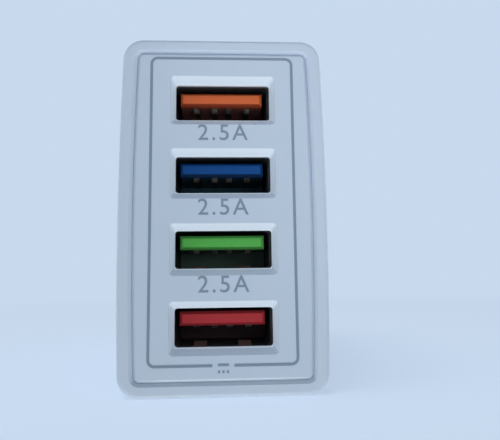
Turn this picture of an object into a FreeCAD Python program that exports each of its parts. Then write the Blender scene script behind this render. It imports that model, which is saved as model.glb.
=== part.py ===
import FreeCAD, Part
import math
import os
import Sketcher

# Wall charger with four stacked USB-A ports in its face and a two-pin mains plug on its back.
# It stands on its narrow bottom side: +X to the right of the ports, +Y from the ports to the pins, +Z up.
# Driving dimensions in millimetres: name, value, meaning.
SIZES = [
    ("body_width", 27.5, "across the bowed long sides, at mid height"),
    ("side_crown", 0.45, "how far each long side bows out between its ends"),
    ("body_height", 47.1, "bottom side to top side"),
    ("body_length", 52.0, "front rim to the back end of the sleeve"),
    ("corner_radius", 2.8, "long outer corners of the sleeve"),
    ("rim_width", 1.92, "front rim, outside to the panel seat"),
    ("seat_ledge", 0.28, "ledge of the sleeve behind the panel"),
    ("rim_round", 0.6, "outer front edge of the rim"),
    ("groove_bevel", 0.42, "bevel on each side of the groove round the panel"),
    ("groove_depth", 0.38, "depth of that bevel"),
    ("panel_gap", 0.02, "clearance round the panel in its seat"),
    ("panel_sink", 0.04, "panel's face behind the front rim"),
    ("port_pitch", 10.0, "from one port to the next"),
    ("window_width", 12.7, "port window across"),
    ("window_height", 4.95, "port window up"),
    ("window_wall", 0.9, "straight wall of a window behind its bevel"),
    ("window_round", 0.4, "corners of a window"),
    ("recess_depth", 1.1, "depth of the bevel round a window"),
    ("recess_rise", 0.92, "width of that bevel above and below a window"),
    ("recess_side", 0.62, "width of that bevel beside a window"),
    ("recess_round", 0.5, "corners of that bevel in the panel's face"),
    ("cover_thickness", 2.0, "back cover plate"),
    ("cover_bevel", 0.8, "outer back edge of the cover"),
    ("spigot_length", 2.5, "lip of the cover inside the sleeve"),
    ("spigot_wall", 1.4, "thickness of that lip"),
    ("spigot_gap", 0.1, "clearance of the lip in the sleeve"),
    ("boss_width", 35.3, "plug boss, along the row of pins"),
    ("boss_height", 13.7, "plug boss, across the row of pins"),
    ("boss_flat", 26.0, "flat stretch of the boss's long sides"),
    ("boss_nose", 5.0, "flat stretch of the boss's pointed ends"),
    ("boss_length", 17.0, "how far the boss stands out"),
    ("boss_round", 1.2, "long edges of the boss"),
    ("boss_bevel", 0.7, "edges round the boss's end"),
    ("pin_spacing", 19.0, "between the pin axes"),
    ("pin_diameter", 4.0, "bare pin"),
    ("pin_reach", 19.0, "pin length outside the boss"),
    ("pin_tip", 1.5, "length of the rounded pin tip"),
    ("pin_tip_step", 0.45, "where the two slopes of that tip meet, from its end and its side"),
    ("root_diameter", 3.2, "pin inside the boss"),
    ("pin_tail", 2.5, "pin length inside the cover plate"),
    ("pin_fit", 0.02, "radial clearance of a pin in the boss and of its sleeve"),
    ("sleeve_length", 10.0, "insulating sleeve at the root of a pin"),
    ("sleeve_diameter", 3.4, "outside of that sleeve"),
    ("neck_diameter", 2.6, "pin under the sleeve"),
    ("strip_thickness", 0.4, "mains contact strip"),
    ("strip_width", 3.0, "mains contact strip"),
    ("strip_leg", 2.5, "strip leg along the board"),
    ("board_thickness", 1.6, "circuit board"),
    ("board_setback", 1.0, "board edge behind the panel"),
    ("board_rear_gap", 0.3, "board edge short of the cover's lip"),
    ("board_edge_gap", 0.2, "board edges to the sleeve's top and bottom"),
    ("slot_width", 1.2, "safety slot through the board"),
    ("slot_length", 12.0, "safety slot through the board"),
    ("guide_width", 1.0, "board guide rib"),
    ("guide_height", 1.2, "board guide rib"),
    ("guide_gap", 0.15, "board clearance between its guides"),
    ("guide_rear_gap", 6.0, "guides short of the board's back edge"),
    ("shell_width", 13.2, "metal socket shell, outside"),
    ("shell_height", 5.7, "metal socket shell, outside"),
    ("shell_wall", 0.3, "metal socket shell"),
    ("shell_length", 13.2, "metal socket shell"),
    ("shell_corner", 0.6, "bevelled outer corners of the shell"),
    ("block_corner", 0.45, "bevelled inner corners of the shell and corners of the block in it"),
    ("shell_gap", 0.1, "shell behind the panel"),
    ("socket_offset", 0.2, "sockets to the left of their windows' middle"),
    ("finger_width", 1.7, "spring finger in the shell's floor"),
    ("finger_spread", 2.95, "fingers from the socket's middle"),
    ("finger_rise", 0.5, "crest of a finger above the shell's floor"),
    ("finger_setback", 0.7, "finger behind the shell's front"),
    ("finger_slope", 1.3, "length of each slope of a finger"),
    ("finger_crest", 1.2, "length of a finger's crest"),
    ("tongue_width", 11.3, "contact tongue of a socket"),
    ("tongue_thickness", 1.85, "contact tongue of a socket"),
    ("tongue_rise", 0.1, "tongue's underside above the socket's middle"),
    ("tongue_setback", 0.5, "tongue tip behind the shell's front"),
    ("tongue_bevel", 0.35, "bevelled edges of the tongue tip"),
    ("block_length", 4.5, "insulating block that closes the shell's back"),
    ("block_gap", 0.05, "clearance of the block in the shell"),
    ("contact_width", 0.8, "one contact spring"),
    ("contact_thickness", 0.25, "one contact spring"),
    ("contact_inner", 1.0, "inner contacts from the middle"),
    ("contact_outer", 3.5, "outer contacts from the middle"),
    ("contact_setback", 1.0, "contact's front behind the tongue tip"),
    ("contact_bulge", 0.45, "how far a contact bows down"),
    ("contact_step", 0.9, "length of each part of that bow"),
    ("contact_tail", 1.0, "contact length behind the shell"),
    ("contact_fit", 0.05, "clearance of a contact in its slot"),
    ("core_width", 16.0, "transformer core across its legs"),
    ("core_length", 12.0, "transformer core along its legs"),
    ("core_thickness", 5.2, "transformer core"),
    ("core_leg", 2.4, "outer legs and yokes of the core"),
    ("core_middle", 4.4, "middle leg of the core"),
    ("core_gap", 0.6, "transformer behind the low-voltage capacitors"),
    ("bobbin_height", 12.4, "bobbin flange, off the board"),
    ("bobbin_wall", 0.7, "bobbin tube and flanges"),
    ("bobbin_gap", 0.1, "bobbin to core"),
    ("winding_inset", 0.5, "winding inside the flanges' edges"),
    ("winding_gap", 0.05, "winding to bobbin"),
    ("bulk_diameter", 6.3, "mains-side capacitor"),
    ("bulk_height", 15.0, "mains-side capacitor"),
    ("bulk_from_rear", 8.75, "its axis to the sleeve's back end"),
    ("bulk_edge", 2.5, "lower mains-side capacitor to the board's bottom edge"),
    ("output_diameter", 5.0, "low-voltage capacitor"),
    ("output_height", 11.0, "low-voltage capacitor"),
    ("output_gap", 0.8, "low-voltage parts behind the sockets"),
    ("output_spread", 8.0, "between the low-voltage capacitors"),
    ("can_bevel", 0.6, "outer end edge of a capacitor can"),
    ("flange_step", 0.4, "how far the ends of the fuse and the choke stand out from their middles"),
    ("flange_bevel", 0.4, "outer end edge of the fuse and the choke"),
    ("fuse_diameter", 3.6, "fuse"),
    ("fuse_height", 9.0, "fuse"),
    ("fuse_cap", 1.6, "metal cap at each end of the fuse"),
    ("fuse_from_rear", 6.5, "its axis to the sleeve's back end"),
    ("fuse_edge", 2.3, "fuse to the board's top edge"),
    ("choke_diameter", 6.0, "input choke"),
    ("choke_height", 7.5, "input choke"),
    ("choke_flange", 1.0, "flanges of the choke's drum"),
    ("choke_gap", 1.5, "choke behind the output rectifier"),
    ("choke_edge", 3.6, "choke to the board's top edge"),
    ("disc_diameter", 7.5, "safety capacitor disc"),
    ("disc_thickness", 3.6, "safety capacitor disc"),
    ("disc_gap", 0.8, "disc behind the optical coupler"),
    ("disc_edge", 2.1, "disc to the board's bottom edge"),
    ("bridge_length", 8.2, "bridge rectifier"),
    ("bridge_width", 6.4, "bridge rectifier"),
    ("bridge_height", 3.2, "bridge rectifier"),
    ("bridge_from_rear", 12.0, "its middle to the sleeve's back end"),
    ("bridge_edge", 1.5, "bridge rectifier to the board's top edge"),
    ("chip_length", 4.9, "switching controller"),
    ("chip_width", 3.9, "switching controller"),
    ("chip_height", 1.6, "switching controller"),
    ("chip_gap", 1.5, "controller behind the safety capacitor"),
    ("chip_edge", 5.0, "controller to the board's bottom edge"),
    ("coupler_length", 6.4, "optical coupler"),
    ("coupler_width", 4.6, "optical coupler"),
    ("coupler_height", 3.4, "optical coupler"),
    ("coupler_edge", 2.4, "optical coupler to the board's bottom edge"),
    ("diode_length", 7.0, "output rectifier"),
    ("diode_width", 5.9, "output rectifier"),
    ("diode_height", 2.4, "output rectifier"),
    ("diode_edge", 3.6, "output rectifier to the board's top edge"),
    ("package_draft", 6.0, "draft of a moulded package in degrees"),
]

PORT_COUNT = 4
FULL_TURN = 360
SAME_PLACE = 1e-4

doc = FreeCAD.newDocument("usb_charger")
sheet = doc.addObject("Spreadsheet::Sheet", "Size")
for row, (alias, value, meaning) in enumerate(SIZES, start=1):
    sheet.set(f"A{row}", alias)
    sheet.set(f"B{row}", str(value))
    sheet.set(f"C{row}", meaning)
    sheet.setAlias(f"B{row}", alias)
doc.recompute()

# Places that follow from the driving dimensions.
# Depths are measured back from the front rim, heights from mid height, both in millimetres.
FACE = "-(Size.body_length + Size.cover_thickness + Size.boss_length + Size.pin_reach) / 2"
MID_HEIGHT = "Size.body_height / 2"
WALL = "(Size.rim_width + Size.seat_ledge)"
PANEL_THICKNESS = "(Size.recess_depth + Size.window_wall)"
PANEL_BACK = f"(Size.panel_sink + {PANEL_THICKNESS})"
SOCKET_ACROSS = "-Size.socket_offset"
SOCKET_DEPTH = f"({PANEL_BACK} + Size.shell_gap)"
SOCKET_BACK = f"({SOCKET_DEPTH} + Size.shell_length + Size.contact_tail)"
BOARD_FACE = "(Size.shell_width / 2 - Size.socket_offset)"
BOARD_FRONT = f"({PANEL_BACK} + Size.board_setback)"
BOARD_BACK = "(Size.body_length - Size.spigot_length - Size.board_rear_gap)"
BOARD_HEIGHT = f"(Size.body_height - 2 * {WALL} - 2 * Size.board_edge_gap)"
BOARD_EDGE = f"({BOARD_HEIGHT} / 2)"
OUTPUT_FRONT = f"({SOCKET_BACK} + Size.output_gap)"
TRANSFORMER_DEPTH = f"({OUTPUT_FRONT} + Size.output_diameter + Size.core_gap + Size.core_length / 2)"
DISC_DEPTH = f"({OUTPUT_FRONT} + Size.coupler_width + Size.disc_gap + Size.disc_thickness / 2)"
DISC_HEIGHT = f"(-{BOARD_EDGE} + Size.disc_edge + Size.disc_diameter / 2)"
PIN_END = "(Size.body_length - Size.pin_tail)"
COVER_BACK = "(Size.body_length + Size.cover_thickness)"

parts = []


def new_part(label):
    """Start a sub-part under its own name."""
    body = doc.addObject("PartDesign::Body", label)
    body.Label = label
    body.AllowCompound = True
    parts.append(body)
    return body


def place(body, across, depth, height):
    """Put a sub-part at its place: across from the middle, back from the rim, up from mid height."""
    body.setExpression("Placement.Base.x", across)
    body.setExpression("Placement.Base.y", f"{FACE} + {depth}")
    body.setExpression("Placement.Base.z", f"{MID_HEIGHT} + {height}")


def origin_feature(body, role):
    """One of a sub-part's own reference planes or axes."""
    return next(item for item in body.Origin.OriginFeatures if item.Role == role)


def new_sketch(body, name, plane, offset="0"):
    """A sketch on one of the sub-part's own planes, moved along that plane's normal."""
    sketch = body.newObject("Sketcher::SketchObject", name)
    sketch.AttachmentSupport = (origin_feature(body, plane), [""])
    sketch.MapMode = "FlatFace"
    sketch.setExpression("AttachmentOffset.Base.z", offset)
    return sketch


def front_sketch(body, name, depth="0"):
    """A sketch parallel to the face, at a depth behind the sub-part's own origin."""
    return new_sketch(body, name, "XZ_Plane", f"-({depth})")


def pin_corner(sketch, geometry, end, across, up):
    """Hold one end of a line at a place that follows the driving dimensions."""
    for kind, text in (("DistanceX", across), ("DistanceY", up)):
        value = sketch.evalExpression(text)
        index = sketch.addConstraint(Sketcher.Constraint(kind, -1, 1, geometry, end, value))
        sketch.setExpression(f"Constraints[{index}]", text)


def outline(sketch, corners):
    """Draw a closed straight-sided outline through corners given as pairs of expressions."""
    first = sketch.GeometryCount
    count = len(corners)
    places = [FreeCAD.Vector(sketch.evalExpression(a), sketch.evalExpression(b), 0) for a, b in corners]
    for number in range(count):
        sketch.addGeometry(Part.LineSegment(places[number], places[(number + 1) % count]), False)
    for number in range(count):
        following = first + (number + 1) % count
        sketch.addConstraint(Sketcher.Constraint("Coincident", first + number, 2, following, 1))
    for number, (across, up) in enumerate(corners):
        pin_corner(sketch, first + number, 1, across, up)


def rectangle(sketch, width, height, across="0", up="0"):
    """Draw a rectangle of a width and height about a middle point."""
    left = f"{across} - ({width}) / 2"
    right = f"{across} + ({width}) / 2"
    low = f"{up} - ({height}) / 2"
    high = f"{up} + ({height}) / 2"
    outline(sketch, [(left, low), (right, low), (right, high), (left, high)])


def bevelled_rectangle(sketch, width, height, corner):
    """Draw a rectangle with bevelled corners about the sketch's middle."""
    side, rise = f"({width}) / 2", f"({height}) / 2"
    short_side, short_rise = f"({side} - {corner})", f"({rise} - {corner})"
    outline(sketch, [
        (f"-{short_side}", f"-{rise}"), (short_side, f"-{rise}"),
        (side, f"-{short_rise}"), (side, short_rise),
        (short_side, rise), (f"-{short_side}", rise),
        (f"-{side}", short_rise), (f"-{side}", f"-{short_rise}"),
    ])


def rounded_rectangle(sketch, width, height, radius, across="0", up="0"):
    """Draw a rectangle with round corners about a middle point."""
    left, right = f"({across} - ({width}) / 2)", f"({across} + ({width}) / 2)"
    low, high = f"({up} - ({height}) / 2)", f"({up} + ({height}) / 2)"
    sides = [
        ((f"{left} + {radius}", low), (f"{right} - {radius}", low)),
        ((right, f"{low} + {radius}"), (right, f"{high} - {radius}")),
        ((f"{right} - {radius}", high), (f"{left} + {radius}", high)),
        ((left, f"{high} - {radius}"), (left, f"{low} + {radius}")),
    ]
    centres = [(f"{right} - {radius}", f"{low} + {radius}"), (f"{right} - {radius}", f"{high} - {radius}"),
               (f"{left} + {radius}", f"{high} - {radius}"), (f"{left} + {radius}", f"{low} + {radius}")]
    bend = sketch.evalExpression(radius)
    lines, arcs = [], []
    for number, (start, end) in enumerate(sides):
        ends = [FreeCAD.Vector(*map(sketch.evalExpression, corner), 0) for corner in (start, end)]
        lines.append(sketch.addGeometry(Part.LineSegment(*ends), False))
        centre = FreeCAD.Vector(*map(sketch.evalExpression, centres[number]), 0)
        turn = Part.Circle(centre, FreeCAD.Vector(0, 0, 1), bend)
        quarter = Part.ArcOfCircle(turn, math.pi / 2 * (number - 1), math.pi / 2 * number)
        arcs.append(sketch.addGeometry(quarter, False))
    for number, (start, end) in enumerate(sides):
        following = lines[(number + 1) % len(lines)]
        sketch.addConstraint(Sketcher.Constraint("Coincident", lines[number], 2, arcs[number], 1))
        sketch.addConstraint(Sketcher.Constraint("Coincident", arcs[number], 2, following, 1))
        pin_corner(sketch, lines[number], 1, *start)
        pin_corner(sketch, lines[number], 2, *end)
        index = sketch.addConstraint(Sketcher.Constraint("Radius", arcs[number], bend))
        sketch.setExpression(f"Constraints[{index}]", radius)


def circle(sketch, diameter, across="0", up="0"):
    """Draw a circle of a diameter about a middle point."""
    centre = FreeCAD.Vector(sketch.evalExpression(across), sketch.evalExpression(up), 0)
    radius = sketch.evalExpression(f"({diameter}) / 2")
    geometry = sketch.addGeometry(Part.Circle(centre, FreeCAD.Vector(0, 0, 1), radius), False)
    pin_corner(sketch, geometry, 3, across, up)
    index = sketch.addConstraint(Sketcher.Constraint("Diameter", geometry, 2 * radius))
    sketch.setExpression(f"Constraints[{index}]", diameter)


def bowed_outline(sketch, inset):
    """Draw the charger's front outline, set in all round: flat ends and bowed long sides."""
    half_height = f"(Size.body_height / 2 - ({inset}))"
    half_width = f"(Size.body_width / 2 - ({inset}))"
    half_end = f"({half_width} - Size.side_crown)"
    bow_radius = f"({half_height} ^ 2 + Size.side_crown ^ 2) / (2 * Size.side_crown)"
    end, top = sketch.evalExpression(half_end), sketch.evalExpression(half_height)
    bow = sketch.evalExpression(half_width)
    corners = [FreeCAD.Vector(x, z, 0) for x, z in ((-end, -top), (end, -top), (end, top), (-end, top))]
    bottom = sketch.addGeometry(Part.LineSegment(corners[0], corners[1]), False)
    right = sketch.addGeometry(Part.Arc(corners[1], FreeCAD.Vector(bow, 0, 0), corners[2]), False)
    upper = sketch.addGeometry(Part.LineSegment(corners[2], corners[3]), False)
    left = sketch.addGeometry(Part.Arc(corners[3], FreeCAD.Vector(-bow, 0, 0), corners[0]), False)
    for before, after in ((bottom, right), (right, upper), (upper, left), (left, bottom)):
        sketch.addConstraint(Sketcher.Constraint("Coincident", before, 2, after, 1))
    pin_corner(sketch, bottom, 1, f"-{half_end}", f"-{half_height}")
    pin_corner(sketch, bottom, 2, half_end, f"-{half_height}")
    pin_corner(sketch, upper, 1, half_end, half_height)
    pin_corner(sketch, upper, 2, f"-{half_end}", half_height)
    for side in (right, left):
        radius = sketch.evalExpression(bow_radius)
        index = sketch.addConstraint(Sketcher.Constraint("Radius", side, radius))
        sketch.setExpression(f"Constraints[{index}]", bow_radius)


def extrude(body, kind, name, sketch, length, backwards, midplane=False):
    """Pad or pocket a sketch; backwards runs towards the plug end."""
    doc.recompute()
    feature = body.newObject(f"PartDesign::{kind}", name)
    feature.Profile = sketch
    feature.setExpression("Length", length)
    feature.Reversed = backwards if kind == "Pad" else not backwards
    feature.Midplane = midplane
    doc.recompute()
    return feature


def pad_back(body, name, sketch, length):
    """Pad a sketch parallel to the face towards the plug end."""
    return extrude(body, "Pad", name, sketch, length, True)


def pocket_back(body, name, sketch, length):
    """Cut a sketch parallel to the face towards the plug end."""
    before = body.Shape.Volume
    feature = extrude(body, "Pocket", name, sketch, length, True)
    if body.Shape.Volume >= before:
        raise RuntimeError(f"{name} in {body.Label} cuts nothing")
    return feature


def pad_both_ways(body, name, sketch, length):
    """Pad a sketch by half the length to each side of its plane."""
    return extrude(body, "Pad", name, sketch, length, False, midplane=True)


def revolve(body, name, sketch, axis):
    """Turn a half section about one of the sub-part's own axes."""
    doc.recompute()
    feature = body.newObject("PartDesign::Revolution", name)
    feature.Profile = sketch
    feature.ReferenceAxis = (origin_feature(body, axis), [""])
    feature.Angle = FULL_TURN
    doc.recompute()
    return feature


def edges_where(feature, test):
    """Names of a feature's edges that pass a test."""
    return [f"Edge{number}" for number, edge in enumerate(feature.Shape.Edges, start=1) if test(edge)]


def runs_along(axis):
    """Test for straight edges parallel to an axis."""
    direction = FreeCAD.Vector(*axis)

    def test(edge):
        if edge.Curve.TypeId != "Part::GeomLine":
            return False
        return edge.tangentAt(edge.FirstParameter).cross(direction).Length < SAME_PLACE

    return test


def lies_at_depth(depth):
    """Test for edges that lie in the plane at a depth."""

    def test(edge):
        box = edge.BoundBox
        return abs(box.YMin - depth) < SAME_PLACE and abs(box.YMax - depth) < SAME_PLACE

    return test


def round_edges(body, name, base, radius, test):
    """Round the edges of a feature that pass a test."""
    feature = body.newObject("PartDesign::Fillet", name)
    feature.Base = (base, edges_where(base, test))
    feature.setExpression("Radius", radius)
    doc.recompute()
    return feature


def bevel_edges(body, name, base, width, test, depth=None):
    """Bevel the edges of a feature that pass a test, as deep as wide if no depth is given."""
    feature = body.newObject("PartDesign::Chamfer", name)
    feature.Base = (base, edges_where(base, test))
    feature.setExpression("Size", width)
    if depth:
        feature.ChamferType = "Two distances"
        feature.setExpression("Size2", depth)
    doc.recompute()
    return feature


def size(text):
    """Value of an expression on the driving dimensions, for picking edges by their place."""
    return sheet.evalExpression(text.replace("Size.", ""))


def corner_test(inset, corner_depth):
    """Test for the four long corner edges of an outline that is set in by a distance."""
    along = runs_along((0, 1, 0))
    half_end = size(f"Size.body_width / 2 - ({inset}) - Size.side_crown")
    half_height = size(f"Size.body_height / 2 - ({inset})")

    def test(edge):
        box = edge.BoundBox
        at_side = abs(abs(box.XMin) - half_end) < SAME_PLACE
        at_end = abs(abs(box.ZMin) - half_height) < SAME_PLACE
        return along(edge) and at_side and at_end and box.YMax <= corner_depth + SAME_PLACE

    return test


# Sleeve: bowed tube with a stepped seat for the panel, guides for the board and a rounded rim.
def main_housing():
    """Sleeve of the charger, open at both ends."""
    body = new_part("main_housing")
    length = size("Size.body_length")
    outer = front_sketch(body, "outer_outline")
    bowed_outline(outer, "0")
    sleeve = pad_back(body, "sleeve", outer, "Size.body_length")
    sleeve = round_edges(body, "outer_corners", sleeve, "Size.corner_radius", corner_test("0", length))
    inner = front_sketch(body, "inner_outline")
    bowed_outline(inner, WALL)
    cavity = pocket_back(body, "cavity", inner, "Size.body_length")
    cavity = round_edges(body, "inner_corners", cavity, f"Size.corner_radius - {WALL}",
                         corner_test(WALL, length))
    seat_outline = front_sketch(body, "seat_outline")
    bowed_outline(seat_outline, "Size.rim_width")
    seat = pocket_back(body, "panel_seat", seat_outline, PANEL_BACK)
    seat = round_edges(body, "seat_corners", seat, "Size.corner_radius - Size.rim_width",
                       corner_test("Size.rim_width", size(PANEL_BACK)))
    rim = round_edges(body, "rim_edge", seat, "Size.rim_round", rim_outer_edge)
    bevel_edges(body, "groove_edge", rim, "Size.groove_bevel", rim_inner_edge, "Size.groove_depth")
    ribs = front_sketch(body, "guide_outlines", BOARD_FRONT)
    middle = f"({BOARD_FACE} + Size.board_thickness / 2)"
    spacing = "((Size.board_thickness + Size.guide_width) / 2 + Size.guide_gap)"
    reach = f"(Size.guide_height + {WALL} / 2)"
    rise = f"(Size.body_height / 2 - {WALL} / 2)"
    for side in ("-", "+"):
        for end, inward in (("-", "+"), ("", "-")):
            up = f"({end}{rise} {inward} {reach} / 2)"
            rectangle(ribs, "Size.guide_width", reach, f"({middle} {side} {spacing})", up)
    pad_back(body, "board_guides", ribs, f"{BOARD_BACK} - {BOARD_FRONT} - Size.guide_rear_gap")
    place(body, "0", "0", "0")


def rim_inner_edge(edge):
    """Test for the rim's inner edge in the plane of the face."""
    box = edge.BoundBox
    half_width = size("Size.body_width / 2 - Size.rim_width") + SAME_PLACE
    half_height = size("Size.body_height / 2 - Size.rim_width") + SAME_PLACE
    inside_x = max(abs(box.XMin), abs(box.XMax)) <= half_width
    inside_z = max(abs(box.ZMin), abs(box.ZMax)) <= half_height
    return lies_at_depth(0)(edge) and inside_x and inside_z


def rim_outer_edge(edge):
    """Test for the rim's outer edge in the plane of the face."""
    return lies_at_depth(0)(edge) and not rim_inner_edge(edge)


# Panel: flat plate in the seat, with four bevelled port windows.
def port_height(number):
    """Height of a port above mid height, counted from the top port."""
    return f"(({PORT_COUNT} - 1) / 2 - {number}) * Size.port_pitch"


def port_panel():
    """Inset face plate with a bevelled window for each port."""
    body = new_part("port_panel")
    inset = "Size.rim_width + Size.panel_gap"
    outer = front_sketch(body, "panel_outline")
    bowed_outline(outer, inset)
    plate = pad_back(body, "plate", outer, PANEL_THICKNESS)
    plate = round_edges(body, "panel_corners", plate, "Size.corner_radius - Size.rim_width - Size.panel_gap",
                        corner_test(inset, size(PANEL_THICKNESS)))
    edge = bevel_edges(body, "panel_edge", plate, "Size.groove_bevel", lies_at_depth(0), "Size.groove_depth")
    edge.FlipDirection = True
    doc.recompute()
    window_outline = front_sketch(body, "window_outline")
    window_shape(window_outline, "0", "0", "Size.window_round")
    window = pocket_back(body, "window", window_outline, PANEL_THICKNESS)
    recess_outline = front_sketch(body, "recess_outline")
    window_shape(recess_outline, "Size.recess_side", "Size.recess_rise", "Size.recess_round")
    recess_floor = front_sketch(body, "recess_floor", "Size.recess_depth")
    window_shape(recess_floor, "0", "0", "Size.window_round")
    recess = body.newObject("PartDesign::SubtractiveLoft", "recess")
    recess.Profile = recess_outline
    recess.Sections = [recess_floor]
    recess.Ruled = True
    doc.recompute()
    column = body.newObject("PartDesign::LinearPattern", "window_column")
    column.Originals = [window, recess]
    column.Direction = (origin_feature(body, "Z_Axis"), [""])
    column.Reversed = True
    column.Occurrences = PORT_COUNT
    column.setExpression("Length", f"Size.port_pitch * ({PORT_COUNT} - 1)")
    body.Tip = column
    doc.recompute()
    place(body, "0", "Size.panel_sink", "0")


def window_shape(sketch, beside, above, corner):
    """Draw the top port's window, wider and taller by the same amount on opposite sides."""
    width = f"Size.window_width + 2 * {beside}"
    height = f"Size.window_height + 2 * {above}"
    rounded_rectangle(sketch, width, height, corner, "0", port_height(0))


# Back cover: plate with a lip in the sleeve, and the boss that carries the two pins.
def rear_cover():
    """Cover that closes the sleeve's back, with the plug boss."""
    body = new_part("rear_cover")
    outer = front_sketch(body, "cover_outline")
    bowed_outline(outer, "0")
    plate = pad_back(body, "plate", outer, "Size.cover_thickness")
    thickness = size("Size.cover_thickness")
    plate = round_edges(body, "cover_corners", plate, "Size.corner_radius", corner_test("0", thickness))
    bevel_edges(body, "back_edge", plate, "Size.cover_bevel", lies_at_depth(thickness))
    lip_inset = f"{WALL} + Size.spigot_gap"
    lip = front_sketch(body, "lip_outline", "-Size.spigot_length")
    bowed_outline(lip, lip_inset)
    spigot = pad_back(body, "lip", lip, "Size.spigot_length")
    spigot = round_edges(body, "lip_corners", spigot, f"Size.corner_radius - {WALL} - Size.spigot_gap",
                         corner_test(lip_inset, 0))
    hollow = front_sketch(body, "hollow_outline", "-Size.spigot_length")
    bowed_outline(hollow, f"{lip_inset} + Size.spigot_wall")
    pocket_back(body, "lip_hollow", hollow, "Size.spigot_length")
    boss_outline = front_sketch(body, "boss_outline", "Size.cover_thickness")
    side = "Size.boss_height / 2"
    nose = "Size.boss_nose / 2"
    end = "Size.boss_width / 2"
    flat = "Size.boss_flat / 2"
    outline(boss_outline, [
        (f"-{nose}", f"-{end}"), (nose, f"-{end}"), (side, f"-{flat}"), (side, flat),
        (nose, end), (f"-{nose}", end), (f"-{side}", flat), (f"-{side}", f"-{flat}"),
    ])
    boss = pad_back(body, "plug_boss", boss_outline, "Size.boss_length")
    tip = size("Size.cover_thickness + Size.boss_length")
    boss = round_edges(body, "boss_edges", boss, "Size.boss_round", boss_side_edge)
    bevel_edges(body, "boss_end", boss, "Size.boss_bevel", lies_at_depth(tip))
    holes = front_sketch(body, "pin_holes", "-Size.spigot_length")
    for sign in ("-", "+"):
        circle(holes, "Size.root_diameter + 2 * Size.pin_fit", "0", f"{sign}Size.pin_spacing / 2")
    pocket_back(body, "pin_bores", holes, "Size.spigot_length + Size.cover_thickness + Size.boss_length")
    place(body, "0", "Size.body_length", "0")


def boss_side_edge(edge):
    """Test for the boss's long edges."""
    return runs_along((0, 1, 0))(edge) and edge.BoundBox.YMax > size("Size.cover_thickness") + SAME_PLACE


# Mains pins: turned pins with a thinner neck under an insulating sleeve.
def mains_pin(label, height):
    """Turned pin from inside the cover to its rounded tip."""
    body = new_part(label)
    sketch = new_sketch(body, "half_section", "XY_Plane")
    radius = "Size.pin_diameter / 2"
    root = "Size.root_diameter / 2"
    neck = "Size.neck_diameter / 2"
    boss_end = "(Size.pin_tail + Size.cover_thickness + Size.boss_length)"
    shoulder = f"({boss_end} + Size.sleeve_length)"
    end = f"({boss_end} + Size.pin_reach)"
    outline(sketch, [("0", "0"), (root, "0"), (root, boss_end), (neck, boss_end), (neck, shoulder),
                     (radius, shoulder), (radius, f"{end} - Size.pin_tip"),
                     (f"{radius} - Size.pin_tip_step", f"{end} - Size.pin_tip_step"),
                     (f"{radius} - Size.pin_tip", end), ("0", end)])
    revolve(body, "turned_pin", sketch, "Y_Axis")
    place(body, "0", PIN_END, height)


def pin_sleeve(label, height):
    """Insulating sleeve round the neck of a pin."""
    body = new_part(label)
    sketch = front_sketch(body, "ring")
    circle(sketch, "Size.sleeve_diameter")
    circle(sketch, "Size.neck_diameter + 2 * Size.pin_fit")
    pad_back(body, "tube", sketch, "Size.sleeve_length")
    place(body, "0", f"{COVER_BACK} + Size.boss_length", height)


def mains_strip(label, height):
    """Bent strip from the end of a pin to the board."""
    body = new_part(label)
    sketch = new_sketch(body, "bent_profile", "XY_Plane")
    thick = "Size.strip_thickness"
    near = "-Size.root_diameter / 2"
    outline(sketch, [(near, f"-{thick}"), (f"{BOARD_FACE} - {thick}", f"-{thick}"),
                     (f"{BOARD_FACE} - {thick}", f"-Size.strip_leg - {thick}"),
                     (BOARD_FACE, f"-Size.strip_leg - {thick}"), (BOARD_FACE, "0"), (near, "0")])
    pad_both_ways(body, "strip", sketch, "Size.strip_width")
    place(body, "0", PIN_END, height)


# Circuit board: upright plate between the guides, with a safety slot between its two sides.
def main_board():
    """Board that carries the sockets and the power parts."""
    body = new_part("main_board")
    sketch = new_sketch(body, "board_outline", "YZ_Plane")
    length = f"({BOARD_BACK} - {BOARD_FRONT})"
    rectangle(sketch, length, BOARD_HEIGHT, f"{length} / 2", "0")
    rectangle(sketch, "Size.slot_width", "Size.slot_length", f"({DISC_DEPTH} - {BOARD_FRONT})", DISC_HEIGHT)
    extrude(body, "Pad", "board", sketch, "Size.board_thickness", False)
    place(body, BOARD_FACE, BOARD_FRONT, "0")


# Sockets: metal shell, coloured insulator with its tongue, and four contact springs.
def socket_shell(number):
    """Metal shell of one port, open at the front."""
    body = new_part(f"socket_shell_{number + 1}")
    sketch = front_sketch(body, "outer")
    bevelled_rectangle(sketch, "Size.shell_width", "Size.shell_height", "Size.shell_corner")
    pad_back(body, "tube", sketch, "Size.shell_length")
    hole = front_sketch(body, "inner")
    walls = "2 * Size.shell_wall"
    bevelled_rectangle(hole, f"Size.shell_width - {walls}", f"Size.shell_height - {walls}",
                       "Size.block_corner")
    pocket_back(body, "mouth", hole, "Size.shell_length")
    under = "(-Size.shell_height / 2 + Size.shell_wall / 2)"
    crest = "(-Size.shell_height / 2 + Size.shell_wall + Size.finger_rise)"
    floor = "(-Size.shell_height / 2 + Size.shell_wall)"
    front = "Size.finger_setback"
    back = "(Size.finger_setback + 2 * Size.finger_slope + Size.finger_crest)"
    profile = new_sketch(body, "finger_profile", "YZ_Plane", "Size.finger_spread")
    outline(profile, [(front, under), (back, under), (back, floor), (f"{back} - Size.finger_slope", crest),
                      (f"{front} + Size.finger_slope", crest), (front, floor)])
    finger = pad_both_ways(body, "finger", profile, "Size.finger_width")
    mirrored = body.newObject("PartDesign::Mirrored", "left_finger")
    mirrored.Originals = [finger]
    mirrored.MirrorPlane = (origin_feature(body, "YZ_Plane"), [""])
    body.Tip = mirrored
    place(body, SOCKET_ACROSS, SOCKET_DEPTH, port_height(number))


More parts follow.
